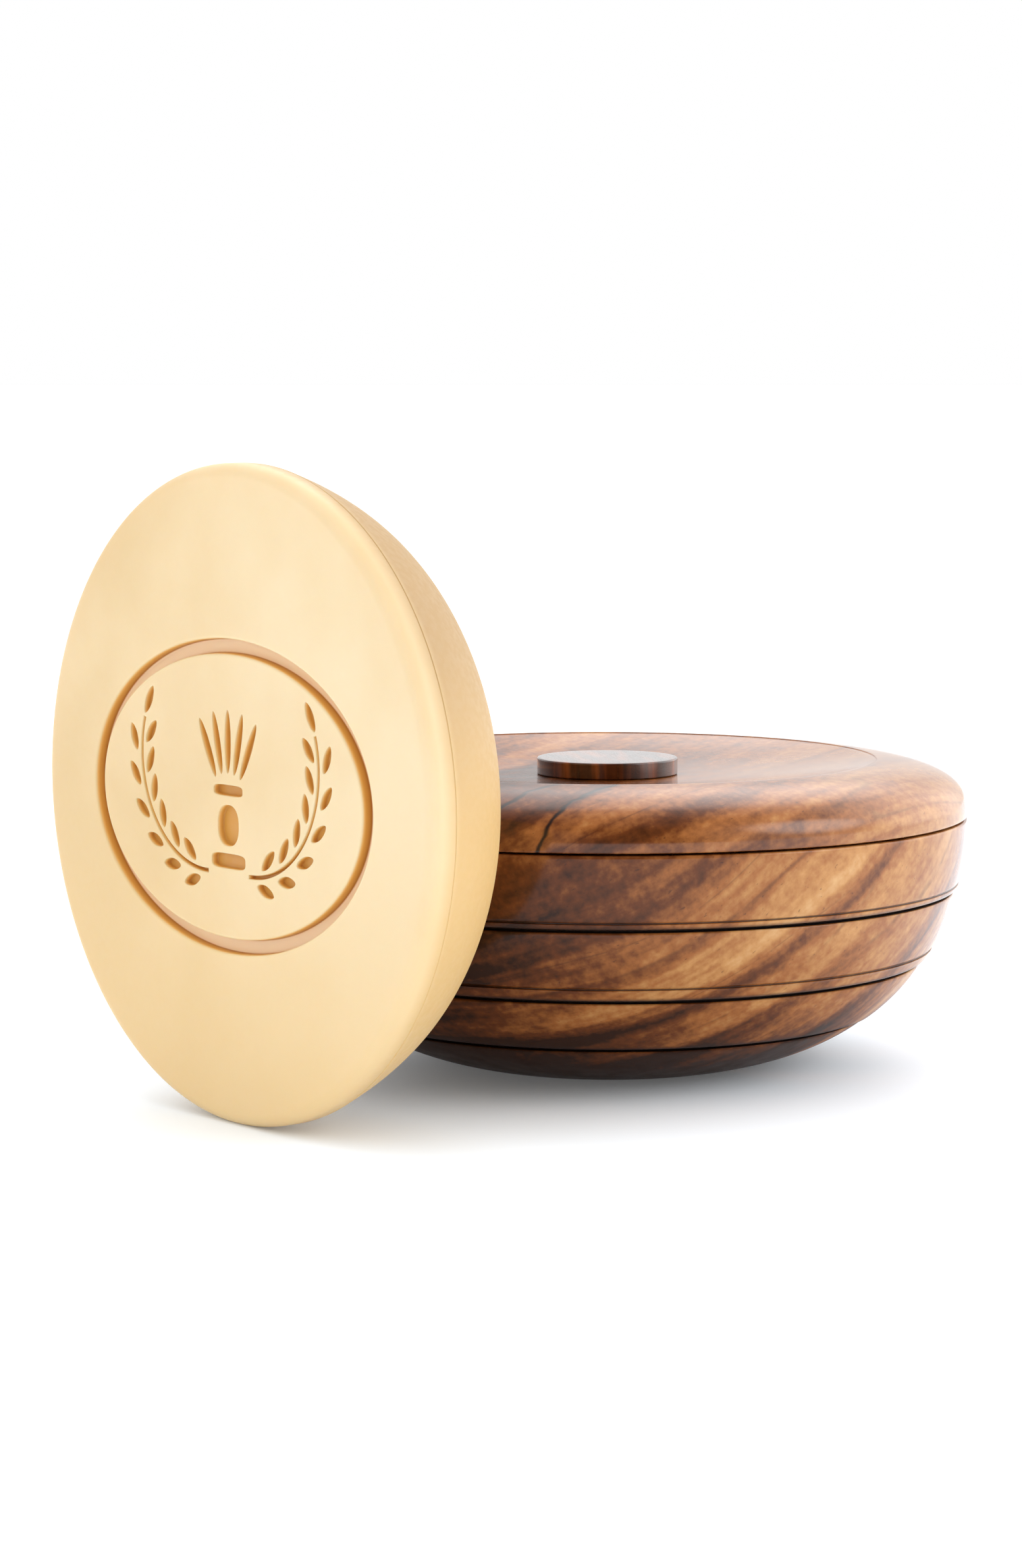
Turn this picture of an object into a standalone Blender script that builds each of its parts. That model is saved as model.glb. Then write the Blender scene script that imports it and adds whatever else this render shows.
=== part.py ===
"""A turned wooden shaving bowl with its lid and knob, and the soap cake that it holds.

Metres, +Z up. The bowl stands on z = 0 with its axis on the world Z axis. The soap cake stands on
its edge in front of the bowl, with its back against the widest part of the bowl's wall.
"""

from math import cos, pi, radians, sin

import bmesh
import bpy

GAP = 0.0003

# Bowl
BOWL_RADIUS = 0.05717
RIM_Z = 0.03937
EDGE_ROUND = 0.0004
FOOT_RADIUS = 0.021
FOOT_HANDLE = (0.0540, 0.0049)
BELLY_HANDLE_Z = 0.0305
CURVE_TOP_Z = 0.03945
MOUTH_RADIUS = 0.0490
MOUTH_BOTTOM_Z = 0.0310
WELL_HANDLES = ((0.0490, 0.0180), (0.0400, 0.0075))
WELL_FLOOR = (0.0260, 0.0075)
SLOT_DEPTH = 0.0018
SLOTS_Z = ((0.02835, 0.02780), (0.01713, 0.01646), (0.00857, 0.00789))

# Lid
LID_RADIUS = 0.05720
LID_WIDEST_Z = 0.0412
CREST_RADIUS = 0.0427
CREST_Z = 0.0485
SHOULDER_POWER = 2.15
DISH_FLOOR_Z = 0.0457
DISH_FLOOR_RADIUS = 0.0125
SPIGOT_DEPTH = 0.0025
SPIGOT_PLAY = 0.0004

# Knob
KNOB_RADIUS = 0.0112
KNOB_TOP_Z = 0.04835
KNOB_EDGE = 0.0003
TENON_RADIUS = 0.0048
TENON_DEPTH = 0.0052

# Soap cake, in its own frame: local Z is its axis, with the parting line at 0 and the face above it
SOAP_RADIUS = 0.04817
SOAP_FACE = 0.0040
SOAP_BACK = 0.0189
SOAP_EDGE_ROUND = 0.0020
SOAP_SIDE_HANDLES = ((0.0459, 0.0070), (0.0410, 0.0185))
SOAP_BACK_RADIUS = 0.0290
SOAP_YAW = radians(50.7)
SOAP_SHIFT = 0.0092
OVAL_OUTER = (0.0345, 0.0229)
OVAL_WIDTH = 0.0022
OVAL_DEPTH = 0.0018

TURNED_STEPS = 72
KNOB_STEPS = 40
OVAL_STEPS = 72
MERGE = 0.00001
SHARP_ANGLE = radians(32)


def clear_scene():
    for thing in list(bpy.data.objects):
        bpy.data.objects.remove(thing, do_unlink=True)


def new_collection(name):
    group = bpy.data.collections.new(name)
    bpy.context.scene.collection.children.link(group)
    return group


def principled(name, colour, roughness, metallic=0.0):
    material = bpy.data.materials.new(name)
    material.use_nodes = True
    shader = material.node_tree.nodes["Principled BSDF"]
    shader.inputs["Base Color"].default_value = (*colour, 1.0)
    shader.inputs["Roughness"].default_value = roughness
    shader.inputs["Metallic"].default_value = metallic
    return material


def curve_points(start, handle_a, handle_b, end, count):
    """Points on a cubic Bezier curve, after its start and up to its end."""
    points = []
    for i in range(1, count + 1):
        t = i / count
        s = 1 - t
        weights = (s**3, 3 * s * s * t, 3 * s * t * t, t**3)
        corners = (start, handle_a, handle_b, end)
        points.append(tuple(sum(w * p[k] for w, p in zip(weights, corners)) for k in (0, 1)))
    return points


def arc_points(centre, radius, first, last, count):
    """Points on an arc between two angles in degrees, both ends included."""
    points = []
    for i in range(count + 1):
        angle = radians(first + (last - first) * i / count)
        points.append((centre[0] + radius * cos(angle), centre[1] + radius * sin(angle)))
    return points


def radius_at(outline, z):
    """The outline's radius at a height, where its points run downwards."""
    for (upper_r, upper_z), (lower_r, lower_z) in zip(outline, outline[1:]):
        if lower_z <= z <= upper_z:
            share = (upper_z - z) / (upper_z - lower_z)
            return upper_r + (lower_r - upper_r) * share
    return outline[-1][0]


def turned(name, outline, steps, group, material):
    """A body turned about Z from (radius, height) points, smooth except at its crisp edges."""
    mesh = bpy.data.meshes.new(name)
    lathe = bmesh.new()
    points = [lathe.verts.new((radius, 0, height)) for radius, height in outline]
    for first, second in zip(points, points[1:]):
        lathe.edges.new((first, second))
    lathe.to_mesh(mesh)
    lathe.free()
    body = bpy.data.objects.new(name, mesh)
    group.objects.link(body)
    screw = body.modifiers.new("turn", "SCREW")
    screw.steps = steps
    screw.render_steps = steps
    screw.use_merge_vertices = True
    screw.merge_threshold = MERGE
    bpy.context.view_layer.update()
    body.data = bpy.data.meshes.new_from_object(body.evaluated_get(bpy.context.evaluated_depsgraph_get()))
    body.data.name = name
    body.modifiers.clear()
    bpy.data.meshes.remove(mesh)
    body.data.materials.clear()
    body.data.materials.append(material)
    body.data.shade_smooth()
    body.data.set_sharp_from_angle(angle=SHARP_ANGLE)
    return body


def bowl_outside():
    """The bowl's outer curve, running down from the rim to the foot, with no slots yet."""
    foot_to_rim = curve_points(
        (FOOT_RADIUS, 0.0),
        FOOT_HANDLE,
        (BOWL_RADIUS, BELLY_HANDLE_Z),
        (BOWL_RADIUS, CURVE_TOP_Z),
        20,
    )
    rim_edge = (BOWL_RADIUS, RIM_Z - EDGE_ROUND)
    below_rim = [point for point in foot_to_rim if point[1] < rim_edge[1]]
    return [rim_edge] + below_rim[::-1] + [(FOOT_RADIUS, 0.0)]


def with_slots(outline):
    """The same curve with the three narrow slots cut level into it."""
    cut = []
    for radius, z in outline:
        if not any(top >= z >= bottom for top, bottom in SLOTS_Z):
            cut.append((radius, z))
    for top, bottom in SLOTS_Z:
        inner = radius_at(outline, bottom) - SLOT_DEPTH
        slot = [
            (radius_at(outline, top), top),
            (inner, top),
            (inner, bottom),
            (radius_at(outline, bottom), bottom),
        ]
        place = next(i for i, point in enumerate(cut) if point[1] < bottom)
        cut[place:place] = slot
    return cut


def make_bowl(group, material):
    well = [(0.0, WELL_FLOOR[1]), WELL_FLOOR]
    well += curve_points(WELL_FLOOR, WELL_HANDLES[1], WELL_HANDLES[0], (MOUTH_RADIUS, MOUTH_BOTTOM_Z), 10)
    rim = [
        (MOUTH_RADIUS, RIM_Z - EDGE_ROUND),
        (MOUTH_RADIUS + EDGE_ROUND, RIM_Z),
        (BOWL_RADIUS - EDGE_ROUND, RIM_Z),
    ]
    outline = well + rim + with_slots(bowl_outside()) + [(0.0, 0.0)]
    return turned("bowl", outline, TURNED_STEPS, group, material)


def shoulder_points(count):
    """The lid's rounded shoulder, from the crest down to its widest line, as a superellipse."""
    points = []
    for i in range(count + 1):
        angle = pi / 2 * (1 - i / count)
        out = max(cos(angle), 0.0) ** (2 / SHOULDER_POWER)
        up = max(sin(angle), 0.0) ** (2 / SHOULDER_POWER)
        radius = CREST_RADIUS + (LID_RADIUS - CREST_RADIUS) * out
        points.append((radius, LID_WIDEST_Z + (CREST_Z - LID_WIDEST_Z) * up))
    return points


def dish_points(count):
    """The dished top, rising from its flat middle to the crest."""
    points = []
    for i in range(count):
        share = i / count
        radius = DISH_FLOOR_RADIUS + (CREST_RADIUS - DISH_FLOOR_RADIUS) * share
        points.append((radius, DISH_FLOOR_Z + (CREST_Z - DISH_FLOOR_Z) * share**2))
    return points


def make_lid(group, material):
    under_z = RIM_Z + GAP
    spigot_radius = MOUTH_RADIUS - SPIGOT_PLAY
    spigot_z = RIM_Z - SPIGOT_DEPTH
    hole_radius = TENON_RADIUS + GAP
    hole = [
        (0.0, DISH_FLOOR_Z - TENON_DEPTH - GAP),
        (hole_radius, DISH_FLOOR_Z - TENON_DEPTH - GAP),
        (hole_radius, DISH_FLOOR_Z),
    ]
    underside = [
        (LID_RADIUS, under_z + EDGE_ROUND),
        (LID_RADIUS - EDGE_ROUND, under_z),
        (spigot_radius, under_z),
        (spigot_radius, spigot_z + EDGE_ROUND),
        (spigot_radius - EDGE_ROUND, spigot_z),
        (0.0, spigot_z),
    ]
    outline = hole + dish_points(7) + shoulder_points(9) + underside
    return turned("lid", outline, TURNED_STEPS, group, material)


def make_knob(group, material):
    head_z = DISH_FLOOR_Z + GAP
    outline = [
        (0.0, KNOB_TOP_Z),
        (KNOB_RADIUS - KNOB_EDGE, KNOB_TOP_Z),
        (KNOB_RADIUS, KNOB_TOP_Z - KNOB_EDGE),
        (KNOB_RADIUS, head_z + KNOB_EDGE),
        (KNOB_RADIUS - KNOB_EDGE, head_z),
        (TENON_RADIUS, head_z),
        (TENON_RADIUS, DISH_FLOOR_Z - TENON_DEPTH),
        (0.0, DISH_FLOOR_Z - TENON_DEPTH),
    ]
    return turned("knob", outline, KNOB_STEPS, group, material)


def oval_spline(curve, half_width, half_height):
    spline = curve.splines.new("POLY")
    spline.points.add(OVAL_STEPS - 1)
    for i, point in enumerate(spline.points):
        angle = 2 * pi * i / OVAL_STEPS
        point.co = (half_width * cos(angle), half_height * sin(angle), 0.0, 1.0)
    spline.use_cyclic_u = True


def oval_cutter(group):
    """A thick oval ring, twice as tall as the groove is deep, centred on its own origin."""
    curve = bpy.data.curves.new("oval_outline", "CURVE")
    curve.dimensions = "2D"
    curve.fill_mode = "BOTH"
    curve.extrude = OVAL_DEPTH
    oval_spline(curve, *OVAL_OUTER)
    oval_spline(curve, OVAL_OUTER[0] - OVAL_WIDTH, OVAL_OUTER[1] - OVAL_WIDTH)
    outline = bpy.data.objects.new("oval_outline", curve)
    group.objects.link(outline)
    bpy.context.view_layer.update()
    mesh = bpy.data.meshes.new_from_object(outline.evaluated_get(bpy.context.evaluated_depsgraph_get()))
    welded = bmesh.new()
    welded.from_mesh(mesh)
    bmesh.ops.remove_doubles(welded, verts=welded.verts, dist=MERGE)
    welded.to_mesh(mesh)
    welded.free()
    cutter = bpy.data.objects.new("oval_cutter", mesh)
    cutter.matrix_world = outline.matrix_world
    group.objects.link(cutter)
    bpy.data.objects.remove(outline, do_unlink=True)
    cutter.hide_render = True
    cutter.display_type = "WIRE"
    return cutter


def make_soap(group, cutters, material):
    side_start = (SOAP_RADIUS, 0.0)
    handle_a, handle_b = [(radius, -depth) for radius, depth in SOAP_SIDE_HANDLES]
    edge_centre = (SOAP_RADIUS - SOAP_EDGE_ROUND, SOAP_FACE - SOAP_EDGE_ROUND)
    outline = [(0.0, SOAP_FACE)]
    outline += arc_points(edge_centre, SOAP_EDGE_ROUND, 90, 0, 5)
    outline += [side_start]
    outline += curve_points(side_start, handle_a, handle_b, (SOAP_BACK_RADIUS, -SOAP_BACK), 9)
    outline += [(0.0, -SOAP_BACK)]
    soap = turned("soap_puck", outline, TURNED_STEPS, group, material)
    cutter = oval_cutter(cutters)
    cutter.parent = soap
    cutter.location = (0.0, 0.0, SOAP_FACE)
    groove = soap.modifiers.new("oval_groove", "BOOLEAN")
    groove.operation = "DIFFERENCE"
    groove.solver = "EXACT"
    groove.object = cutter
    return soap


def soap_place():
    """Where the soap's parting circle has its centre, with its back just clear of the bowl."""
    behind = BOWL_RADIUS + GAP + SOAP_BACK
    back = (sin(SOAP_YAW), cos(SOAP_YAW))
    along = (cos(SOAP_YAW), -sin(SOAP_YAW))
    x = -behind * back[0] + SOAP_SHIFT * along[0]
    y = -behind * back[1] + SOAP_SHIFT * along[1]
    return (x, y, SOAP_RADIUS)


def new_empty(name, location, group):
    empty = bpy.data.objects.new(name, None)
    empty.location = location
    empty.empty_display_size = SOAP_RADIUS
    group.objects.link(empty)
    return empty


def place_on(part, empty):
    """Parents a part to an empty and keeps the part where it was modelled."""
    part.parent = empty
    part.location = -empty.location


def main():
    clear_scene()
    group = new_collection("shaving_bowl")
    cutters = new_collection("cutters")
    wood = principled("figured_wood", (0.42, 0.21, 0.085), 0.28)
    dark_wood = principled("dark_wood", (0.09, 0.035, 0.015), 0.25)
    soap_cream = principled("soap_cream", (0.90, 0.70, 0.40), 0.45)

    make_bowl(group, wood)
    lid_lift = new_empty("lid_lift", (0.0, 0.0, RIM_Z), group)
    place_on(make_lid(group, wood), lid_lift)
    place_on(make_knob(group, dark_wood), lid_lift)

    soap_lift = new_empty("soap_lift", soap_place(), group)
    soap = make_soap(group, cutters, soap_cream)
    soap.parent = soap_lift
    soap.rotation_euler = (pi / 2, 0.0, -SOAP_YAW)


main()
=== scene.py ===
"""A turned wooden shaving bowl with its lid, knob and soap cake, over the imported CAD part."""

from collections import namedtuple
from math import copysign, cos, pi, radians, sin

import bmesh
import bpy
from mathutils import Euler, Matrix, Vector
from mathutils.geometry import tessellate_polygon


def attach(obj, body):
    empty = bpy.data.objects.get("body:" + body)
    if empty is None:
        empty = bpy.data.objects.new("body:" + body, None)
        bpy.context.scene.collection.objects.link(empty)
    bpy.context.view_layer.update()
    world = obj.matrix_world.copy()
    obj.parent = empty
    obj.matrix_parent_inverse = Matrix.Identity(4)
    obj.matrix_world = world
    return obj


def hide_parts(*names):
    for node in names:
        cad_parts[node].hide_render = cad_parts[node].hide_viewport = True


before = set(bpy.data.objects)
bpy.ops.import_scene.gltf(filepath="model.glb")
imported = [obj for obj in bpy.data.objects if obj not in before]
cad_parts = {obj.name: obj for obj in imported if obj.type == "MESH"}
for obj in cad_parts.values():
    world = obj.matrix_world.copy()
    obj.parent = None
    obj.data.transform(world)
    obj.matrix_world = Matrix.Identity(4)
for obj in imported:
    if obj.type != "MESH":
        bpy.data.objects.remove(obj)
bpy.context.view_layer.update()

MM = 0.001
GAP = 0.3 * MM

# Bowl, in metres: the CAD's outer curve with softer edges. The curve runs on past the rim.
BOWL_RADIUS = 57.17 * MM
RIM_Z = 39.37 * MM
FOOT_RADIUS = 21 * MM
FOOT_HANDLE = (54.0 * MM, 4.9 * MM)
BELLY_HANDLE_Z = 30.5 * MM
CURVE_TOP_Z = 39.85 * MM
MOUTH_RADIUS = 49.0 * MM
WELL_HANDLES = ((40.0 * MM, 7.5 * MM), (49.0 * MM, 18.0 * MM))
WELL_FLOOR = (26.0 * MM, 7.5 * MM)
MOUTH_BOTTOM_Z = 31.0 * MM
SLOT_DEPTH = 1.8 * MM
SLOTS_Z = ((28.24 * MM, 27.80 * MM), (16.98 * MM, 16.46 * MM), (8.42 * MM, 7.89 * MM))
FINE_LINES_Z = (29.25 * MM, 18.87 * MM)
FINE_LINE = 0.2 * MM
BAND_RECESS = 0.3 * MM
SOFT_EDGE = 0.45 * MM
UPPER_EDGE = 0.72 * MM
LOWER_EDGE = 0.4 * MM
SLOT_CORNER = 0.12 * MM
SLOT_SLACK = 0.02 * MM
SLOT_WALL_SLACK = 0.3 * MM
MOUTH_EDGE = 0.6 * MM
FOOT_EDGE = 0.5 * MM
FOOT_FLAT = 3 * MM
# How far up the painted shade above each slot fades out
SLOT_SHADE_FADE = 0.62 * MM

# Lid and knob
LID_RADIUS = 57.2 * MM
SHOULDER_CENTRE = 38.0 * MM
SHOULDER_BASE_Z = 40.55 * MM
CREST_RADIUS = 42.7 * MM
CREST_Z = 48.5 * MM
SHOULDER_POWER = 2.5
DISH_FLOOR_Z = 45.7 * MM
DISH_FLOOR_RADIUS = 12.5 * MM
SPIGOT_DEPTH = 2.5 * MM
SPIGOT_PLAY = 0.4 * MM
KNOB_RADIUS = 11.2 * MM
KNOB_TOP_Z = 48.35 * MM
TENON_RADIUS = 4.8 * MM
TENON_DEPTH = 5.2 * MM
KNOB_LIFT = 0.06 * MM
KNOB_FLAT = 1.2 * MM

# The ring line's section in mm, outwards and upwards from the crest line, and the room it takes
RING_LINE = ((-0.12, -0.14), (0, -0.16), (0.08, -0.03))
RING_INSIDE = 0.3 * MM
RING_OUTSIDE = 0.15 * MM
RING_DROP = 0.12 * MM

# Soap, in its own frame: local Z is its axis, with the parting line at 0 and the face above it
SOAP_RADIUS = 48.17 * MM
SOAP_FACE = 4.0 * MM
SOAP_BACK = 18.9 * MM
SOAP_EDGE = 2.0 * MM
SOAP_SIDE_HANDLES = ((45.9 * MM, -7.0 * MM), (41.0 * MM, -18.5 * MM))
SOAP_BACK_RADIUS = 29.0 * MM
SOAP_YAW = radians(50.7)
SOAP_TURN = Euler((pi / 2, 0, -SOAP_YAW))
SOAP_SHIFT = 9.2 * MM
OVAL_OUTER = (34.5 * MM, 22.9 * MM)
OVAL_WIDTH = 2.2 * MM
OVAL_DEPTH = 1.8 * MM
MOTIF_DEPTH = 1.1 * MM
FACE_MARGIN = 0.3 * MM

# Parting line: outwards from the soap's radius and upwards, in mm. Back: outwards from its radius.
PARTING_LINE = ((0, 0.14), (-0.1, 0), (-0.02, -0.14))
BACK_STEPS = (-0.8, -1.2)

# Engraved motif, in mm and degrees. A petal's size is its half length, half width and power.
SPRIG_CENTRE = Vector((5.6, 5.2))
SPRIG_REACH = 16.4
STEM_HALF = 0.3
STEM_ENDS = (-92, 18)
LEAF_PAIRS = 6
LEAF_FIRST, LEAF_STEP = -76, 17
LEAF_SIDE, LEAF_AHEAD, LEAF_TURN = 2.1, 3, 30
LEAF = (2.1, 0.85, 1.7)
TIP_LEAF = (2.3, 0.85, 1.7)
TIP_PLACE, TIP_TURN = 28, 118
BRISTLE_ROOT, BRISTLE_REACH, BRISTLE_TURN = -3.5, 11.5, 13
BRISTLE = (4.6, 0.75, 1.9)
COLLAR = (0, 0.9, 0, 3.6, 0.8, 4)
HANDLE = (0, -4.2, 90, 3.0, 2.6, 2.4)
HANDLE_END = (0, -9.4, 0, 4.2, 1.1, 4)

# A pocket's lip, as growth and height in mm, and its floor's edge, as inset and height
LIP_OUT = 0.25
LIP_STEPS = ((0.10, 0.0), (0.0, 0.0), (-0.11, -0.03), (-0.20, -0.10), (-0.25, -0.21))
FLOOR_STEPS = ((0.08, 0.22), (0.12, 0.10), (0.20, 0.03), (0.30, 0.0), (0.38, 0.0))
GROOVE_LIP = 1.3
MOTIF_LIP = 0.6

# Wood grain: the growth layers' normal, the fibres' direction and a shift in mm. The tone leans
# from dark to light along one direction, as painted shade and painted light, and changes by low
# at the foot, as painted shade near the floor. Contrast is the broad stripes', and gloss is the
# lacquer's index of refraction.
Grain = namedtuple("Grain", "layers fibres shift lean dark light low contrast gloss")
BOWL_GRAIN = Grain(
    layers=(-0.437, -0.434, 0.788),
    fibres=(0.87, 0.01, 0.49),
    shift=(0, 0, 0),
    lean=(1, 0, 0.5),
    dark=-0.44,
    light=0.0,
    low=-0.26,
    contrast=1,
    gloss=1.4,
)
LID_GRAIN = Grain(
    layers=(-0.469, 0.271, 0.842),
    fibres=(0.81, 0.51, 0.287),
    shift=(40, 15, 9),
    lean=(1, 0.2, 0),
    dark=-0.10,
    light=0.26,
    low=0,
    contrast=0.68,
    gloss=1.52,
)

# Each crack: its plane's normal, then in mm the plane's offset, the crack's half width, and the
# places along Y where it is full and gone
LID_CRACKS = (
    ((-0.788, 0.542, 0.291), -9.6, 0.65, -42, -34),
    ((-0.72, 0.60, 0.35), -2.6, 0.6, -46, -38),
)
CRACK_SWAY = 2.4
CRACK_CORE = 0.15

# Wood noise: feature sizes in mm along the fibres, across them and across the growth layers
SWAY_SIZE, SWAY = (110, 50, 50), 5
FIGURE_SIZE, FIGURE_WEIGHT = (220, 90, 7), 0.95
STRIPE_SIZE, STRIPE_WEIGHT = (150, 60, 2.2), 0.34
FINE_SIZE, FINE_WEIGHT = (26, 9, 0.6), 0.09
MOTTLE_SIZE, MOTTLE_WEIGHT = (5, 4, 3), 0.22
BLOTCH_SIZE, BLOTCH_WEIGHT = (1.3, 1.8, 1.1), 0.26
RIDGE_SIZE = (200, 90, 10)
PORE_SIZE = (1.3, 0.35, 0.35)
PORES, PORE_WEIGHT = (0.70, 0.78), 0.45
RIDGE_WIDTH, RIDGE_PEAK = 0.012, 0.3
# Painted shade along the slots and fine lines: its darkest share, and how far inside the outer
# surface it begins and is full
SLOT_SHADE_PEAK = 0.85
SLOT_SHADE_DEPTHS = (3.2 * MM, 3.0 * MM)
# The brown of the grain's thin lines and the cracks, and of the painted shade along the slots and
# fine lines
LINE_AND_SHADE_BROWN = (34, 16, 7)
PORE_BROWN = (44, 24, 13)

# The lacquer shines less towards the foot and the left: from where to where, and its two shares
POLISH_UP = (4 * MM, 30 * MM, 0.12, 1)
POLISH_ACROSS = (-40 * MM, 40 * MM, 0.4, 1)
RELIEF = 0.1 * MM
TONE_SPAN = (0.56, 1.26)
# How far each way the painted light and shade lean reaches, and how high the painted shade at the
# foot reaches
PAINTED_LIGHT_LEAN_REACH = 55 * MM
FOOT_SHADE_REACH = 15 * MM

# Studio: each soft bright area's direction, the cosines where it begins and is full, its strength
STUDIO_DIM = 0.05
STUDIO_LIGHTS = (
    ((0, 1, 0.1), -0.1, 0.6, 0.92),
    ((0.95, -0.25, 0.2), 0.55, 0.95, 1.0),
    ((0.83, -0.30, 0.47), 0.91, 0.995, 3.2),
    ((-0.05, 0.72, 0.69), 0.86, 0.98, 1.3),
    ((0.82, 0.5, 0.28), 0.75, 0.98, 1.2),
    ((-0.8, -0.6, 0.2), 0.6, 0.98, 0.8),
    ((0, 0.2, 1), 0.5, 1.0, 0.35),
)

SUN_PLACE = Vector((-0.2, -0.25, 1.0))
SUN_STRENGTH = 2.05
SUN_ANGLE = radians(125)

# Camera, in metres: above the front edge of the table, looking slightly down
CAMERA_PLACE = (-0.01535, -0.6268, 0.1094)
CAMERA_DIP = 0.104
CAMERA_LENS = 90.76
FLOOR_HALF = 30.0

TURNED_STEPS = 256
KNOB_STEPS = 160
OVAL_STEPS = 160
CURVE_STEPS = 240
WELL_STEPS = 60
SHOULDER_STEPS = 90
DISH_STEPS = 40
SIDE_STEPS = 60
EDGE_STEPS = 12
PETAL_STEPS = 28
STEM_STEPS = 40
ROUNDING_STEPS = 5
SHARP_ANGLE = radians(50)
ON_AXIS = 1e-7


# ---------------------------------------------------------------- outlines


def bezier(start, handle_a, handle_b, end, count):
    """Points on a cubic Bezier curve, both ends included."""
    points = []
    for i in range(count + 1):
        t = i / count
        s = 1 - t
        weights = (s**3, 3 * s * s * t, 3 * s * t * t, t**3)
        corners = (start, handle_a, handle_b, end)
        points.append(tuple(sum(w * p[k] for w, p in zip(weights, corners)) for k in (0, 1)))
    return points


def rounded(outline):
    """An outline from (radius, height) or (radius, height, rounding) points, corners rounded."""
    points = []
    for i, point in enumerate(outline):
        rounding = point[2] if len(point) > 2 else 0
        if not rounding:
            points.append(tuple(point[:2]))
            continue
        corner = Vector(point[:2])
        before = Vector(outline[i - 1][:2]) - corner
        after = Vector(outline[i + 1][:2]) - corner
        half = before.angle(after) / 2
        room = [side.length * (0.49 if len(other) > 2 else 0.98)
                for side, other in ((before, outline[i - 1]), (after, outline[i + 1]))]
        reach = min(rounding * cos(half) / sin(half), *room)
        start = corner + before.normalized() * reach
        end = corner + after.normalized() * reach
        for k in range(ROUNDING_STEPS + 1):
            t = k / ROUNDING_STEPS
            spot = start * (1 - t) ** 2 + corner * 2 * t * (1 - t) + end * t * t
            points.append(tuple(spot))
    return points


def lathe(name, outline, steps):
    """A closed body turned about Z from (radius, height) points that start and end on the axis."""
    rows = []
    verts = []
    faces = []
    for radius, height in outline:
        if radius < ON_AXIS:
            rows.append([len(verts)] * steps)
            verts.append((0, 0, height))
            continue
        rows.append(list(range(len(verts), len(verts) + steps)))
        for k in range(steps):
            angle = 2 * pi * k / steps
            verts.append((radius * cos(angle), radius * sin(angle), height))
    for upper, lower in zip(rows, rows[1:]):
        for k in range(steps):
            after = (k + 1) % steps
            ring = [upper[k], upper[after], lower[after], lower[k]]
            face = [v for n, v in enumerate(ring) if v not in ring[:n]]
            if len(face) > 2:
                faces.append(face)
    mesh = bpy.data.meshes.new(name)
    mesh.from_pydata(verts, [], faces)
    return finished(name, mesh)


def finished(name, mesh):
    """Makes the object from a mesh, with outward faces and smooth shading."""
    work = bmesh.new()
    work.from_mesh(mesh)
    bmesh.ops.recalc_face_normals(work, faces=work.faces)
    work.to_mesh(mesh)
    work.free()
    mesh.shade_smooth()
    mesh.set_sharp_from_angle(angle=SHARP_ANGLE)
    body = bpy.data.objects.new(name, mesh)
    bpy.context.scene.collection.objects.link(body)
    return body


def radius_at(outline, z):
    """The outline's radius at a height, where its points run downwards."""
    for (upper_r, upper_z), (lower_r, lower_z) in zip(outline, outline[1:]):
        if lower_z <= z <= upper_z:
            share = (upper_z - z) / (upper_z - lower_z)
            return upper_r + (lower_r - upper_r) * share
    return outline[-1][0]


# ---------------------------------------------------------------- bowl


def bowl_curve():
    """The bowl's smooth outer curve, running down from just above the rim to the foot."""
    belly = (BOWL_RADIUS, BELLY_HANDLE_Z)
    top = (BOWL_RADIUS, CURVE_TOP_Z)
    return bezier((FOOT_RADIUS, 0), FOOT_HANDLE, belly, top, CURVE_STEPS)[::-1]


def recess_at(z):
    """How far a band's surface lies inside the smooth curve, most just below each slot."""
    lower_tops = [top for top, bottom in SLOTS_Z[1:]] + [0]
    for (top, bottom), below in zip(SLOTS_Z, lower_tops):
        if below <= z <= bottom:
            share = (z - below) / (bottom - below)
            return BAND_RECESS * share * share
    return 0


def band(curve, top, bottom):
    """The curve's points strictly between two heights, moved in by the band's recess."""
    return [(r - recess_at(z), z) for r, z in curve if bottom < z < top]


def slot_points(curve, top, bottom):
    """A level slot with a softened edge above and below it."""
    lower = radius_at(curve, bottom) - BAND_RECESS
    upper = radius_at(curve, top) - recess_at(top)
    inner = lower - SLOT_DEPTH + BAND_RECESS
    return [
        (upper, top, UPPER_EDGE),
        (inner, top, SLOT_CORNER),
        (inner, bottom, SLOT_CORNER),
        (lower, bottom, LOWER_EDGE),
    ]


def fine_line_points(curve, z):
    """A narrow incised line."""
    radius = radius_at(curve, z) - recess_at(z)
    return [
        (radius, z + FINE_LINE),
        (radius - FINE_LINE, z + FINE_LINE * 0.25),
        (radius - FINE_LINE, z - FINE_LINE * 0.25),
        (radius, z - FINE_LINE),
    ]


def bowl_outside():
    """The outer outline from just under the rim to the foot, with slots and fine lines."""
    curve = bowl_curve()
    points = []
    top = RIM_Z - SOFT_EDGE * 1.2
    for slot_top, slot_bottom in SLOTS_Z:
        for z in [z for z in FINE_LINES_Z if slot_top < z < top]:
            points += band(curve, top, z + FINE_LINE * 1.2) + fine_line_points(curve, z)
            top = z - FINE_LINE * 1.2
        points += band(curve, top, slot_top + UPPER_EDGE)
        points += slot_points(curve, slot_top, slot_bottom)
        top = slot_bottom - LOWER_EDGE * 1.5
    points += band(curve, top, SOFT_EDGE)
    return points


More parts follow.
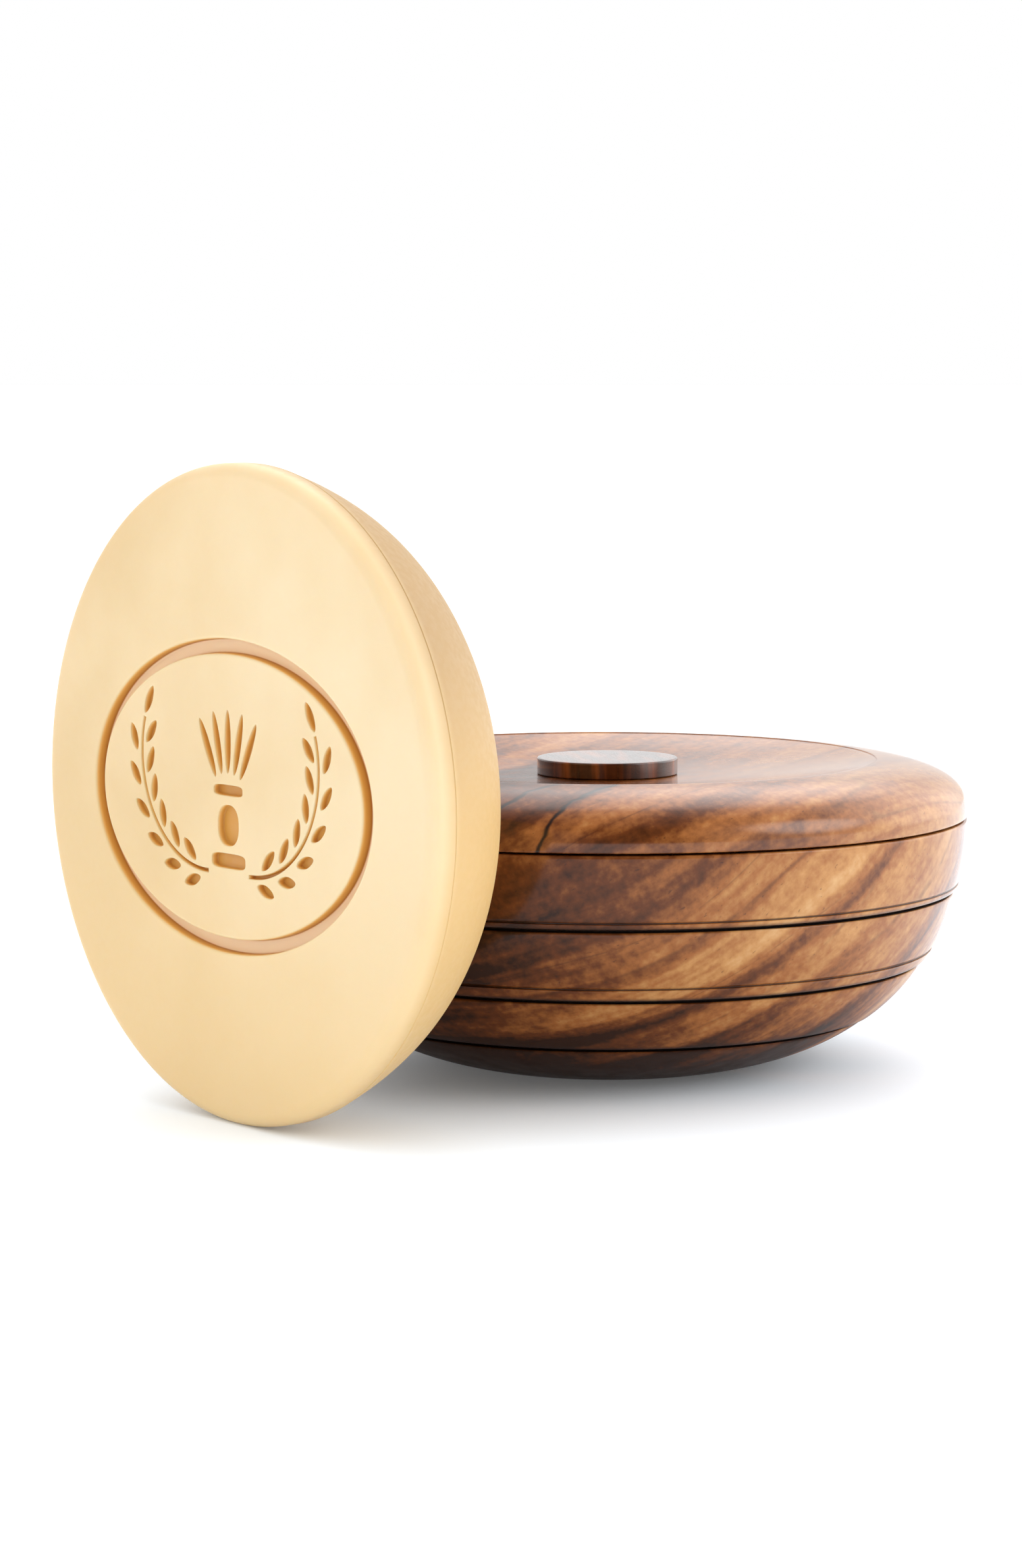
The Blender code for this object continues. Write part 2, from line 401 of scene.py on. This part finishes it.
def make_bowl():
    floor_z = WELL_FLOOR[1]
    mouth = (MOUTH_RADIUS, MOUTH_BOTTOM_Z)
    well = [(0, floor_z)] + bezier(WELL_FLOOR, *WELL_HANDLES, mouth, WELL_STEPS)
    rim = [(MOUTH_RADIUS, RIM_Z, MOUTH_EDGE), (BOWL_RADIUS, RIM_Z, SOFT_EDGE)]
    foot = [(FOOT_RADIUS, 0, FOOT_EDGE), (FOOT_RADIUS - FOOT_FLAT, 0), (0, 0)]
    bowl = lathe("turned_bowl", rounded(well + rim + bowl_outside() + foot), TURNED_STEPS)
    curve = bowl_curve()
    # Painted shade along each slot and fine line: a dark band fading out above it
    shade_marks = [(top, bottom, radius_at(curve, bottom), SLOT_SHADE_FADE) for top, bottom in SLOTS_Z]
    shade_marks += [(z, z - FINE_LINE * 0.5, radius_at(curve, z), FINE_LINE) for z in FINE_LINES_Z]
    bowl.data.materials.append(wood_material("bowl_wood", BOWL_GRAIN, (), shade_marks))
    # The slots' walls take a near-black material, a painted shade
    bowl.data.materials.append(slot_shade_material())
    for face in bowl.data.polygons:
        face.material_index = int(any(in_slot(face, curve, *slot) for slot in SLOTS_Z))
    return bowl


def in_slot(face, curve, top, bottom):
    """Whether a face is one of a slot's walls, and not the well's at the same height."""
    level = bottom - SLOT_SLACK < face.center.z < top + SLOT_SLACK
    inner = radius_at(curve, bottom) - SLOT_DEPTH - SLOT_WALL_SLACK
    return level and face.center.xy.length > inner


# ---------------------------------------------------------------- lid and knob


def shoulder_points(count):
    """The lid's rounded shoulder, from the crest line down to its widest line."""
    points = []
    width = LID_RADIUS - SHOULDER_CENTRE
    height = CREST_Z - SHOULDER_BASE_Z
    for i in range(count + 1):
        angle = pi / 2 * (1 - i / count)
        radius = SHOULDER_CENTRE + width * max(cos(angle), 0) ** (2 / SHOULDER_POWER)
        z = SHOULDER_BASE_Z + height * max(sin(angle), 0) ** (2 / SHOULDER_POWER)
        if radius > CREST_RADIUS + RING_OUTSIDE:
            points.append((radius, z))
    return points


def crest_z():
    """The shoulder's height at the crest line."""
    share = (CREST_RADIUS - SHOULDER_CENTRE) / (LID_RADIUS - SHOULDER_CENTRE)
    height = (1 - share**SHOULDER_POWER) ** (1 / SHOULDER_POWER)
    return SHOULDER_BASE_Z + (CREST_Z - SHOULDER_BASE_Z) * height


def dish_points(edge_z, count):
    """The dished top, rising from its flat middle to just inside the crest line."""
    points = []
    width = CREST_RADIUS - RING_INSIDE - DISH_FLOOR_RADIUS
    for i in range(count + 1):
        share = i / count
        radius = DISH_FLOOR_RADIUS + width * share
        points.append((radius, DISH_FLOOR_Z + (edge_z - DISH_FLOOR_Z) * share**2))
    return points


def make_lid():
    under_z = RIM_Z + GAP
    spigot_radius = MOUTH_RADIUS - SPIGOT_PLAY
    spigot_z = RIM_Z - SPIGOT_DEPTH
    hole_radius = TENON_RADIUS + GAP
    hole_z = DISH_FLOOR_Z - TENON_DEPTH - GAP
    edge_z = crest_z()
    hole = [(0, hole_z), (hole_radius, hole_z), (hole_radius, DISH_FLOOR_Z, GAP)]
    ring = [(CREST_RADIUS + out * MM, edge_z + up * MM) for out, up in RING_LINE]
    underside = [
        (LID_RADIUS, under_z, SOFT_EDGE),
        (spigot_radius, under_z, 0.2 * MM),
        (spigot_radius, spigot_z, 0.5 * MM),
        (spigot_radius - 2 * MM, spigot_z),
        (0, spigot_z),
    ]
    dish = dish_points(edge_z - RING_DROP, DISH_STEPS)
    outline = hole + dish + ring + shoulder_points(SHOULDER_STEPS) + underside
    lid = lathe("turned_lid", rounded(outline), TURNED_STEPS)
    lid.data.materials.append(wood_material("lid_wood", LID_GRAIN, LID_CRACKS, ()))
    return lid


def make_knob():
    head_z = DISH_FLOOR_Z + KNOB_LIFT
    tenon_z = DISH_FLOOR_Z - TENON_DEPTH
    outline = [
        (0, KNOB_TOP_Z),
        (KNOB_RADIUS - KNOB_FLAT, KNOB_TOP_Z),
        (KNOB_RADIUS, KNOB_TOP_Z, 0.3 * MM),
        (KNOB_RADIUS, head_z, 0.2 * MM),
        (KNOB_RADIUS - KNOB_FLAT, head_z),
        (TENON_RADIUS, head_z, 0.2 * MM),
        (TENON_RADIUS, tenon_z, 0.3 * MM),
        (0, tenon_z),
    ]
    knob = lathe("turned_knob", rounded(outline), KNOB_STEPS)
    knob.data.materials.append(dark_wood_material())
    return knob


# ---------------------------------------------------------------- soap


def oval(half_width, half_height, grow, steps):
    """An ellipse's points, grown evenly."""
    width = half_width + grow
    height = half_height + grow
    angles = [2 * pi * k / steps for k in range(steps)]
    return [Vector((width * cos(angle), height * sin(angle))) for angle in angles]


def petal(x, y, turn, half_length, half_width, power, grow):
    """A closed superellipse in mm, turned in degrees and grown evenly by some mm."""
    points = []
    for k in range(PETAL_STEPS):
        angle = 2 * pi * (k + 0.5) / PETAL_STEPS
        long = (half_length + grow) * copysign(abs(cos(angle)) ** (2 / power), cos(angle))
        wide = (half_width + grow) * copysign(abs(sin(angle)) ** (2 / power), sin(angle))
        spot = Matrix.Rotation(radians(turn), 2) @ Vector((long, wide))
        points.append((spot + Vector((x, y))) * MM)
    return points


def sprig(side):
    """The leaves of one curved sprig, as petals. Side is 1 for the right and -1 for the left."""
    petals = []
    for k in range(LEAF_PAIRS):
        along = LEAF_FIRST + LEAF_STEP * k
        for lean in (-1, 1):
            spot = sprig_point(along + LEAF_AHEAD * lean, -LEAF_SIDE * lean)
            turn = along + 90 + LEAF_TURN * lean
            petals.append((side * spot.x, spot.y, turn if side > 0 else 180 - turn, *LEAF))
    spot = sprig_point(TIP_PLACE, 0)
    turn = TIP_TURN if side > 0 else 180 - TIP_TURN
    petals.append((side * spot.x, spot.y, turn, *TIP_LEAF))
    return petals


def sprig_point(angle, offset):
    """A point by the sprig's curved stem, at an angle in degrees and an offset outwards in mm."""
    reach = SPRIG_REACH + offset
    return SPRIG_CENTRE + Vector((cos(radians(angle)), sin(radians(angle)))) * reach


def stem(side, grow):
    """The sprig's stem as a thin closed band."""
    points = []
    half = STEM_HALF + grow
    ends = (STEM_ENDS[0] - grow * 3, STEM_ENDS[1] + grow * 3)
    for offset, first, last in ((half, *ends), (-half, *ends[::-1])):
        for k in range(STEM_STEPS):
            spot = sprig_point(first + (last - first) * k / (STEM_STEPS - 1), offset)
            points.append(Vector((side * spot.x, spot.y)) * MM)
    return points


def brush():
    """A shaving brush drawn with petals: five bristle strokes, a collar and a turned handle."""
    petals = []
    for k in range(-2, 3):
        turn = 90 - BRISTLE_TURN * k
        aim = Vector((cos(radians(turn)), sin(radians(turn))))
        spot = Vector((0, BRISTLE_ROOT)) + aim * BRISTLE_REACH
        petals.append((spot.x, spot.y, turn, *BRISTLE))
    return petals + [COLLAR, HANDLE, HANDLE_END]


def motif(grow):
    """All engraved shapes of the generic barber motif, grown by some millimetres."""
    petals = [petal(*shape, grow) for shape in sprig(1) + sprig(-1) + brush()]
    return petals + [stem(1, grow), stem(-1, grow)]


class FaceBuilder:
    """Collects the soap's faces from rings of points at given heights."""

    def __init__(self):
        self.verts = []
        self.faces = []

    def ring(self, points, z):
        first = len(self.verts)
        self.verts += [(p.x, p.y, z) for p in points]
        return list(range(first, len(self.verts)))

    def bridge(self, one, two):
        for k in range(len(one)):
            after = (k + 1) % len(one)
            self.faces.append((one[k], one[after], two[after], two[k]))

    def fill(self, *rings):
        flat = [v for ring in rings for v in ring]
        loops = [[Vector(self.verts[v]) for v in ring] for ring in rings]
        for triangle in tessellate_polygon(loops):
            self.faces.append(tuple(flat[k] for k in triangle))


def pocket(builder, outline, depth, lip):
    """A pocket's lip, sloping wall and floor edge. Outline gives points for a growth in mm."""
    rings = []
    for grow, drop in LIP_STEPS:
        points = outline(LIP_OUT * lip + grow * lip)
        rings.append(builder.ring(points, SOAP_FACE + drop * lip * MM))
    floor_z = SOAP_FACE - depth
    for inset, rise in FLOOR_STEPS:
        rings.append(builder.ring(outline(-inset * lip), floor_z + rise * lip * MM))
    for one, two in zip(rings, rings[1:]):
        builder.bridge(one, two)
    return rings[0], rings[-1]


def oval_groove(builder):
    """The oval groove round the motif, as the rings outside and inside it."""
    inner_size = [half - OVAL_WIDTH for half in OVAL_OUTER]

    def outer_oval(grow):
        return oval(*OVAL_OUTER, grow * MM, OVAL_STEPS)

    def inner_oval(grow):
        return oval(*inner_size, -grow * MM, OVAL_STEPS)

    outer, outer_floor = pocket(builder, outer_oval, OVAL_DEPTH, GROOVE_LIP)
    inner, inner_floor = pocket(builder, inner_oval, OVAL_DEPTH, GROOVE_LIP)
    builder.bridge(outer_floor, inner_floor)
    return outer, inner


def soap_side():
    """The outline from the face's edge, over the parting line, to the middle of the back."""
    flat = SOAP_RADIUS - SOAP_EDGE
    edge = []
    for k in range(EDGE_STEPS + 1):
        angle = radians(90 - 90 / EDGE_STEPS * k)
        z = SOAP_FACE - SOAP_EDGE + SOAP_EDGE * sin(angle)
        edge.append((flat + SOAP_EDGE * cos(angle), z))
    line = [(SOAP_RADIUS + out * MM, up * MM) for out, up in PARTING_LINE]
    end = (SOAP_BACK_RADIUS, -SOAP_BACK)
    side = bezier((SOAP_RADIUS, 0), *SOAP_SIDE_HANDLES, end, SIDE_STEPS)[2:]
    back = [(SOAP_BACK_RADIUS + out * MM, -SOAP_BACK) for out in BACK_STEPS]
    return edge + line + side + back


def make_soap():
    builder = FaceBuilder()
    flat = SOAP_RADIUS - SOAP_EDGE
    face_edge = builder.ring(oval(flat, flat, -FACE_MARGIN, TURNED_STEPS), SOAP_FACE)
    outer, inner = oval_groove(builder)
    builder.fill(face_edge, outer)
    lips = []
    for k in range(len(motif(0))):
        lip, floor = pocket(builder, lambda grow, k=k: motif(grow)[k], MOTIF_DEPTH, MOTIF_LIP)
        lips.append(lip)
        builder.fill(floor)
    builder.fill(inner, *lips)
    last = face_edge
    for radius, z in soap_side():
        row = builder.ring(oval(radius, radius, 0, TURNED_STEPS), z)
        builder.bridge(last, row)
        last = row
    builder.fill(last)
    mesh = bpy.data.meshes.new("soap_cake")
    mesh.from_pydata(builder.verts, [], builder.faces)
    mesh.transform(Matrix.Translation(soap_place()) @ SOAP_TURN.to_matrix().to_4x4())
    soap = finished("soap_cake", mesh)
    soap.data.materials.append(soap_material())
    return soap


def soap_place():
    """Where the soap's parting circle has its centre, with its back just clear of the bowl."""
    behind = BOWL_RADIUS + GAP + SOAP_BACK
    back = Vector((sin(SOAP_YAW), cos(SOAP_YAW), 0))
    along = Vector((cos(SOAP_YAW), -sin(SOAP_YAW), 0))
    return -behind * back + SOAP_SHIFT * along + Vector((0, 0, SOAP_RADIUS))


# ---------------------------------------------------------------- materials


def colour(red, green, blue):
    """A linear colour from 0 to 255 display values."""
    parts = []
    for value in (red, green, blue):
        share = value / 255
        parts.append(share / 12.92 if share <= 0.04045 else ((share + 0.055) / 1.055) ** 2.4)
    return (*parts, 1)


class Graph:
    """Adds nodes to a material and links them."""

    def __init__(self, name):
        self.material = bpy.data.materials.new(name)
        self.material.use_nodes = True
        self.tree = self.material.node_tree
        self.shader = self.tree.nodes["Principled BSDF"]

    def put(self, socket, value):
        if isinstance(value, bpy.types.NodeSocket):
            self.tree.links.new(value, socket)
        else:
            socket.default_value = value

    def set(self, **values):
        for name, value in values.items():
            self.put(self.shader.inputs[name.replace("_", " ")], value)

    def node(self, kind, *inputs, **settings):
        node = self.tree.nodes.new("ShaderNode" + kind)
        for name, value in settings.items():
            setattr(node, name, value)
        for socket, value in zip(node.inputs, inputs):
            if value is not None:
                self.put(socket, value)
        return node

    def math(self, operation, *values):
        return self.node("Math", *values, operation=operation).outputs[0]

    def vector(self, operation, *values):
        return self.node("VectorMath", *values, operation=operation).outputs[0]

    def measure(self, operation, *values):
        """A vector operation whose result is a number."""
        return self.node("VectorMath", *values, operation=operation).outputs["Value"]

    def noise(self, vector, size, detail=2, roughness=0.5):
        """Noise between 0 and 1 whose features have the given size along each axis."""
        scaled = self.vector("DIVIDE", vector, size)
        node = self.node("TexNoise")
        self.put(node.inputs["Vector"], scaled)
        node.inputs["Scale"].default_value = 1
        node.inputs["Detail"].default_value = detail
        node.inputs["Roughness"].default_value = roughness
        return node.outputs["Fac"]

    def span(self, value, low, high, to_low=0, to_high=1):
        """Moves a value smoothly from one span to another, and holds it at the ends."""
        node = self.node("MapRange", value, low, high, to_low, to_high)
        node.interpolation_type = "SMOOTHSTEP"
        return node.outputs["Result"]

    def ramp(self, value, stops):
        """Colours between (place, colour) stops."""
        node = self.node("ValToRGB", value)
        elements = node.color_ramp.elements
        while len(elements) < len(stops):
            elements.new(0.5)
        for element, (place, shade) in zip(elements, stops):
            element.position = place
            element.color = shade
        return node.outputs["Color"]

    def mix(self, share, one, two):
        """A colour between two, where a share of 0 is the first and 1 the second."""
        node = self.node("Mix", data_type="RGBA")
        self.put(node.inputs["Factor"], share)
        self.put(node.inputs[6], one)
        self.put(node.inputs[7], two)
        return node.outputs[2]

    def bump(self, height, strength, distance):
        node = self.node("Bump")
        node.inputs["Strength"].default_value = strength
        node.inputs["Distance"].default_value = distance
        self.put(node.inputs["Height"], height)
        self.put(self.shader.inputs["Normal"], node.outputs["Normal"])


def grain_space(graph, layers, fibres, shift):
    """Object coordinates, and the same in mm with X along the fibres and Z across the layers."""
    layers = Vector(layers).normalized()
    across = layers.cross(Vector(fibres)).normalized()
    along = across.cross(layers)
    turn = Matrix((along, across, layers)).to_euler()
    place = graph.node("TexCoord").outputs["Object"]
    return place, graph.node("Mapping", place, shift, turn, (1 / MM, 1 / MM, 1 / MM)).outputs[0]


def wood_material(name, grain, cracks, shade_marks):
    """Lacquered wood with broad slanting stripes, soft mottling, thin dark lines and pores, and
    painted light and shade.
    """
    graph = Graph(name)
    place, space = grain_space(graph, grain.layers, grain.fibres, grain.shift)
    side, back, height = graph.node("SeparateXYZ", place).outputs
    sway = graph.span(graph.noise(space, SWAY_SIZE), 0, 1, -SWAY, SWAY)
    bent = graph.vector("ADD", space, graph.node("CombineXYZ", 0, 0, sway).outputs[0])
    fine = graph.noise(bent, FINE_SIZE)
    mottle = graph.noise(bent, MOTTLE_SIZE)
    tone = wood_tone(graph, grain, bent, height, fine, mottle)
    shade = graph.ramp(graph.node("MapRange", tone, *TONE_SPAN).outputs[0], (
        (0.06, colour(46, 20, 4)),
        (0.28, colour(96, 49, 17)),
        (0.48, colour(149, 90, 43)),
        (0.70, colour(184, 131, 76)),
        (0.92, colour(205, 162, 111)),
    ))
    line = ridge_line(graph, bent, mottle)
    for plane in cracks:
        line = graph.math("MAXIMUM", line, crack(graph, place, back, mottle, *plane))
    # Painted shade along the slots and fine lines, in the same brown as the grain's lines
    radius = graph.measure("LENGTH", graph.vector("MULTIPLY", place, (1, 1, 0)))
    for shade_mark in shade_marks:
        line = graph.math("MAXIMUM", line, painted_shade_band(graph, height, radius, *shade_mark))
    shade = graph.mix(line, shade, colour(*LINE_AND_SHADE_BROWN))
    pores = graph.span(graph.noise(bent, PORE_SIZE, 1), *PORES)
    shade = graph.mix(graph.math("MULTIPLY", pores, PORE_WEIGHT), shade, colour(*PORE_BROWN))
    upper = graph.span(height, *POLISH_UP)
    polish = graph.math("MULTIPLY", upper, graph.span(side, *POLISH_ACROSS))
    graph.set(Base_Color=shade, Roughness=graph.span(mottle, 0.3, 0.7, 0.38, 0.48))
    graph.set(Specular_IOR_Level=0.05, Coat_Weight=polish)
    graph.set(Coat_Roughness=0.12, Coat_IOR=grain.gloss)
    dents = graph.math("MAXIMUM", pores, line)
    graph.bump(graph.math("SUBTRACT", graph.math("MULTIPLY", fine, 0.3), dents), 0.25, RELIEF)
    return graph.material


def wood_tone(graph, grain, bent, height, fine, mottle):
    """The wood's lightness: broad figure, stripes and mottling, with painted light and shade
    leaning across it and painted shade at the foot.
    """
    figure = graph.noise(bent, FIGURE_SIZE)
    stripe = graph.noise(bent, STRIPE_SIZE, 1)
    blotch = graph.noise(bent, BLOTCH_SIZE, 3, 0.55)
    place = graph.node("TexCoord").outputs["Object"]
    # Painted light and shade: darker towards one side and lighter towards the other, and painted
    # shade at the foot
    across = graph.measure("DOT_PRODUCT", place, Vector(grain.lean).normalized())
    lean = graph.span(across, -PAINTED_LIGHT_LEAN_REACH, PAINTED_LIGHT_LEAN_REACH, grain.dark, grain.light)
    tone = graph.math("ADD", lean, graph.span(height, 0, FOOT_SHADE_REACH, grain.low, 0))
    for part, weight in (
        (figure, FIGURE_WEIGHT * grain.contrast),
        (stripe, STRIPE_WEIGHT * grain.contrast),
        (fine, FINE_WEIGHT),
        (mottle, MOTTLE_WEIGHT),
        (blotch, BLOTCH_WEIGHT),
    ):
        tone = graph.math("MULTIPLY_ADD", part, weight, tone)
    return tone


def ridge_line(graph, bent, mottle):
    """Thin dark lines along the grain, broken up by the mottling."""
    ridge = graph.math("SUBTRACT", graph.noise(bent, RIDGE_SIZE, 1), 0.5)
    line = graph.span(graph.math("ABSOLUTE", ridge), 0, RIDGE_WIDTH, RIDGE_PEAK, 0)
    return graph.math("MULTIPLY", line, graph.span(mottle, 0.4, 0.6))


def painted_shade_band(graph, height, radius, top, bottom, outside, fade):
    """Painted shade: dark between two heights near the outer surface, fading out above the top."""
    above = graph.span(height, top, top + fade, SLOT_SHADE_PEAK, 0)
    below = graph.span(height, bottom - 0.05 * MM, bottom)
    outer = graph.span(radius, *[outside - reach for reach in SLOT_SHADE_DEPTHS])
    return graph.math("MULTIPLY", graph.math("MULTIPLY", above, below), outer)


def crack(graph, place, back, rough, normal, offset, half_width, start, end):
    """A ragged dark line where a plane cuts the surface, fading out between start and end."""
    across = graph.measure("DOT_PRODUCT", place, Vector(normal).normalized() / MM)
    ragged = graph.math("MULTIPLY_ADD", rough, CRACK_SWAY, -offset - CRACK_SWAY / 2)
    distance = graph.math("ABSOLUTE", graph.math("ADD", across, ragged))
    core = graph.span(distance, half_width * CRACK_CORE, half_width, 1, 0)
    return graph.math("MULTIPLY", core, graph.span(back, start * MM, end * MM, 1, 0))


def slot_shade_material():
    """The slots' walls, painted near black as shade."""
    graph = Graph("slot_painted_shade")
    place = graph.node("TexCoord").outputs["Object"]
    slot_shade_noise = graph.noise(place, (MM, MM, MM), 3)
    shade = graph.ramp(slot_shade_noise, ((0.3, colour(22, 11, 5)), (0.7, colour(44, 23, 11))))
    graph.set(Base_Color=shade, Roughness=0.7)
    graph.bump(slot_shade_noise, 0.3, RELIEF)
    return graph.material


def dark_wood_material():
    """Polished deep red-brown wood, with upright stripes round its edge."""
    graph = Graph("knob_wood")
    space = grain_space(graph, (1, 0.12, 0.02), (0, 0.1, 1), (5, 3, 2))[1]
    stripe = graph.noise(space, (30, 14, 2.4), 2, 0.6)
    fine = graph.noise(space, (12, 4, 0.5), 2, 0.6)
    tone = graph.math("MULTIPLY_ADD", stripe, 1.2, -0.15)
    tone = graph.math("MULTIPLY_ADD", fine, 0.1, tone)
    shade = graph.ramp(tone, (
        (0.25, colour(38, 15, 5)),
        (0.45, colour(74, 33, 10)),
        (0.60, colour(122, 58, 18)),
        (0.80, colour(156, 84, 32)),
    ))
    graph.set(Base_Color=shade, Roughness=graph.span(fine, 0.3, 0.7, 0.22, 0.3))
    graph.set(Specular_IOR_Level=0.05, Coat_Weight=1.0, Coat_Roughness=0.03, Coat_IOR=1.6)
    graph.bump(fine, 0.01, RELIEF)
    return graph.material


def soap_material():
    """Creamy soap with painted light and shade, and deeper in tone inside the engraving as painted
    shade.
    """
    graph = Graph("soap_surface")
    world = graph.node("TexCoord").outputs["Object"]
    own_frame = (soap_place(), SOAP_TURN, (MM, MM, MM))
    place = graph.node("Mapping", world, *own_frame, vector_type="TEXTURE").outputs[0]
    cloud = graph.noise(place, (26, 26, 26), 3)
    speck = graph.noise(place, (1.1, 1.1, 1.1), 2)
    sideways, upright, height = graph.node("SeparateXYZ", place).outputs
    # Painted light and shade: the soap lighter towards one side and darker towards the other
    tone = graph.math("ADD", cloud, graph.span(sideways, -45, 40, -0.22, 0.22))
    shade = graph.ramp(tone, (
        (0.2, colour(214, 184, 135)),
        (0.5, colour(222, 195, 150)),
        (0.8, colour(227, 204, 164)),
    ))
    # Painted shade: deeper and more yellow towards the bottom
    shade = graph.mix(graph.span(upright, -48, 10, 0.7, 0), shade, colour(225, 191, 133))
    # Painted shade: the side deeper in tone than the face, and deeper still towards its top
    side = graph.mix(graph.span(upright, -10, 30), colour(200, 164, 106), colour(164, 131, 82))
    shade = graph.mix(graph.span(height, -1.5, SOAP_FACE / MM, 1, 0), shade, side)
    # Painted shade inside the groove and the motif: deeper with depth down the walls, lighter
    # again on the groove's floor
    centre = graph.measure("LENGTH", place)
    inside = graph.math("MULTIPLY", graph.span(height, 1.9, 2.1), graph.span(centre, 37, 38, 1, 0))
    depth = graph.math("SUBTRACT", SOAP_FACE / MM, height)
    engraved = graph.ramp(graph.math("DIVIDE", depth, OVAL_DEPTH / MM), (
        (0.15, colour(232, 186, 108)),
        (0.40, colour(210, 154, 70)),
        (0.65, colour(198, 140, 60)),
        (0.88, colour(172, 108, 40)),
        (0.97, colour(238, 204, 160)),
    ))
    below = graph.math("MULTIPLY", graph.span(depth, 0.03, 0.5), inside)
    shade = graph.mix(below, shade, engraved)
    graph.set(Base_Color=shade, Roughness=graph.span(speck, 0.3, 0.7, 0.42, 0.52))
    graph.set(Subsurface_Weight=0.25, Subsurface_Scale=4 * MM)
    graph.set(Subsurface_Radius=(1.0, 0.55, 0.25))
    graph.bump(graph.noise(place, (6, 6, 6), 4, 0.6), 0.12, 0.4 * MM)
    return graph.material


def floor_material():
    """Near-white floor that glows a little, to keep its far parts as white as the background."""
    graph = Graph("floor_white")
    place = graph.node("TexCoord").outputs["Object"]
    grain = graph.noise(place, (0.4, 0.4, 0.4), 2)
    shade = graph.ramp(grain, ((0, colour(236, 243, 250)), (1, colour(240, 247, 254))))
    graph.set(Base_Color=shade, Roughness=0.6)
    graph.set(Specular_IOR_Level=0.2, Emission_Color=(1, 1, 1, 1), Emission_Strength=0.085)
    return graph.material


# ---------------------------------------------------------------- stage


def make_floor():
    signs = ((-1, -1), (1, -1), (1, 1), (-1, 1))
    corners = [(x * FLOOR_HALF, y * FLOOR_HALF, 0) for x, y in signs]
    mesh = bpy.data.meshes.new("floor")
    mesh.from_pydata(corners, [], [(0, 1, 2, 3)])
    floor = bpy.data.objects.new("floor", mesh)
    bpy.context.scene.collection.objects.link(floor)
    floor.data.materials.append(floor_material())


def make_world():
    """White to the camera. Reflections and light see a dim studio with large soft bright areas."""
    world = bpy.data.worlds.new("studio")
    bpy.context.scene.world = world
    world.use_nodes = True
    tree = world.node_tree
    background = tree.nodes["Background"]
    direction = tree.nodes.new("ShaderNodeTexCoord").outputs["Generated"]
    total = None
    for aim, low, high, strength in STUDIO_LIGHTS:
        dot = tree.nodes.new("ShaderNodeVectorMath")
        dot.operation = "DOT_PRODUCT"
        dot.inputs[1].default_value = Vector(aim).normalized()
        tree.links.new(direction, dot.inputs[0])
        glow = tree.nodes.new("ShaderNodeMapRange")
        glow.interpolation_type = "SMOOTHSTEP"
        for socket, number in zip(glow.inputs[1:5], (low, high, 0, strength)):
            socket.default_value = number
        tree.links.new(dot.outputs["Value"], glow.inputs["Value"])
        add = tree.nodes.new("ShaderNodeMath")
        add.inputs[0].default_value = STUDIO_DIM
        if total:
            tree.links.new(total, add.inputs[0])
        tree.links.new(glow.outputs["Result"], add.inputs[1])
        total = add.outputs[0]
    shown = tree.nodes.new("ShaderNodeMix")
    shown.inputs[3].default_value = 1.0
    tree.links.new(tree.nodes.new("ShaderNodeLightPath").outputs["Is Camera Ray"], shown.inputs[0])
    tree.links.new(total, shown.inputs[2])
    background.inputs["Color"].default_value = (1, 1, 1, 1)
    tree.links.new(shown.outputs[0], background.inputs["Strength"])


def make_light():
    """One very wide, soft light from above, which reflections don't show."""
    data = bpy.data.lights.new("overhead", "SUN")
    data.energy = SUN_STRENGTH
    data.angle = SUN_ANGLE
    lamp = bpy.data.objects.new("overhead", data)
    bpy.context.scene.collection.objects.link(lamp)
    lamp.location = SUN_PLACE
    lamp.rotation_euler = (-SUN_PLACE).to_track_quat("-Z", "Y").to_euler()
    lamp.visible_glossy = False


def make_camera():
    data = bpy.data.cameras.new("camera")
    camera = bpy.data.objects.new("camera", data)
    bpy.context.scene.collection.objects.link(camera)
    data.lens = CAMERA_LENS
    data.sensor_width = 36
    data.clip_start = 0.01
    camera.location = CAMERA_PLACE
    camera.rotation_euler = (pi / 2 - CAMERA_DIP, 0, 0)
    bpy.context.scene.camera = camera


def main():
    pieces = (
        (make_bowl(), "bowl", "bowl", "figured_wood"),
        (make_lid(), "lid", "lid", "figured_wood"),
        (make_knob(), "knob", "lid", "dark_wood"),
        (make_soap(), "soap_puck", "soap", "soap_cream"),
    )
    for piece, node, body, slot in pieces:
        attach(piece, body)
        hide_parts(node)
    make_floor()
    make_world()
    make_light()
    make_camera()
    bpy.context.scene.view_settings.view_transform = "Standard"


main()
